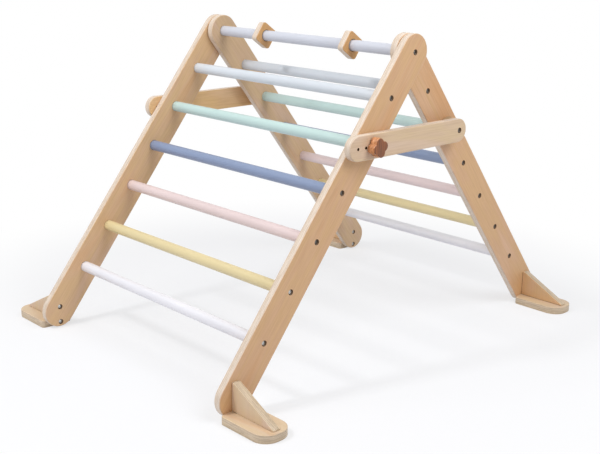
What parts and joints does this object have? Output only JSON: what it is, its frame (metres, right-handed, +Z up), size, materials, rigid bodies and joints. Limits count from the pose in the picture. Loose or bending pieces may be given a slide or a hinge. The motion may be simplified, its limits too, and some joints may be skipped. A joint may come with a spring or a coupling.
{
  "type": "folding climbing triangle",
  "caption": "Folding climbing frame for small children: two rung ladders hinged on a shared top rung and held open by side braces with hand knobs, on outward foot plates.",
  "frame": {"origin": "on the floor, midway between the four feet and straight below the top rung's axis", "axes": "+X along the rungs towards the right-hand side, +Y from the front ladder towards the rear ladder, +Z up"},
  "size_m": [0.934, 1.0788, 0.7203],
  "materials": {
    "rail_plywood": "satin clear-coated birch plywood",
    "brace_plywood": "satin clear-coated birch plywood",
    "foot_plywood": "satin clear-coated birch plywood",
    "stop_plywood": "satin clear-coated birch plywood",
    "spacer_plywood": "satin clear-coated birch plywood",
    "rung_lilac": "satin lacquered dowel, pale lilac",
    "rung_ice_blue": "satin lacquered dowel, ice blue",
    "rung_mint": "satin lacquered dowel, mint",
    "rung_periwinkle": "satin lacquered dowel, periwinkle blue",
    "rung_pink": "satin lacquered dowel, pale pink",
    "rung_yellow": "satin lacquered dowel, pale yellow",
    "rung_white": "satin lacquered dowel, white",
    "knob_wood": "oiled dark hardwood",
    "zinc_steel": "zinc-plated steel",
    "insert_brass": "plain brass",
    "washer_nylon": "natural nylon"
  },
  "bodies": {
    "front_frame": {"front_rail_right": "rail_plywood", "front_rail_left": "rail_plywood", "top_rung": "rung_lilac", "ramp_stop_right": "stop_plywood", "ramp_stop_left": "stop_plywood", "front_rung_1": "rung_ice_blue", "front_rung_2": "rung_mint", "front_rung_3": "rung_periwinkle", "front_rung_4": "rung_pink", "front_rung_5": "rung_yellow", "front_rung_6": "rung_white", "front_foot_plate_right": "foot_plywood", "front_foot_plate_left": "foot_plywood", "front_foot_gusset_right": "foot_plywood", "front_foot_gusset_left": "foot_plywood", "front_rung_screws_right": "zinc_steel", "front_rung_screws_left": "zinc_steel", "apex_screws": "zinc_steel", "front_foot_screws_right": "zinc_steel", "front_foot_screws_left": "zinc_steel", "front_foot_base_screws": "zinc_steel", "knob_insert_right": "insert_brass", "knob_insert_left": "insert_brass"},
    "rear_frame": {"rear_rail_right": "rail_plywood", "rear_rail_left": "rail_plywood", "rear_rung_1": "rung_ice_blue", "rear_rung_2": "rung_mint", "rear_rung_3": "rung_periwinkle", "rear_rung_4": "rung_pink", "rear_rung_5": "rung_yellow", "rear_rung_6": "rung_white", "rear_foot_plate_right": "foot_plywood", "rear_foot_plate_left": "foot_plywood", "rear_foot_gusset_right": "foot_plywood", "rear_foot_gusset_left": "foot_plywood", "rear_rung_screws_right": "zinc_steel", "rear_rung_screws_left": "zinc_steel", "rear_foot_screws_right": "zinc_steel", "rear_foot_screws_left": "zinc_steel", "rear_foot_base_screws": "zinc_steel", "hinge_washer_right": "washer_nylon", "hinge_washer_left": "washer_nylon", "brace_spacer_right": "spacer_plywood", "brace_spacer_left": "spacer_plywood", "brace_pivot_screw_right": "zinc_steel", "brace_pivot_screw_left": "zinc_steel"},
    "brace_right": {"brace_right": "brace_plywood"},
    "knob_right": {"knob_right": "knob_wood", "knob_stud_right": "zinc_steel", "knob_washer_right": "zinc_steel"},
    "brace_left": {"brace_left": "brace_plywood"},
    "knob_left": {"knob_left": "knob_wood", "knob_stud_left": "zinc_steel", "knob_washer_left": "zinc_steel"}
  },
  "joints": [
    {"name": "fold", "type": "hinge", "parent": "front_frame", "child": "rear_frame", "pos_m": [0, 0, 0.68087], "axis": [-1, 0, 0], "range_deg": [0, 48]},
    {"name": "brace_swing_right", "type": "hinge", "parent": "rear_frame", "child": "brace_right", "pos_m": [0.3464, 0.1416, 0.49962], "axis": [1, 0, 0], "range_deg": [-52, 128]},
    {"name": "brace_swing_left", "type": "hinge", "parent": "rear_frame", "child": "brace_left", "pos_m": [-0.3464, 0.1416, 0.49962], "axis": [1, 0, 0], "range_deg": [-52, 128]},
    {"name": "knob_turn_right", "type": "hinge", "parent": "brace_right", "child": "knob_right", "pos_m": [0.366, -0.1416, 0.49962], "axis": [1, 0, 0], "continuous": true},
    {"name": "knob_turn_left", "type": "hinge", "parent": "brace_left", "child": "knob_left", "pos_m": [-0.366, -0.1416, 0.49962], "axis": [-1, 0, 0], "continuous": true}
  ]
}
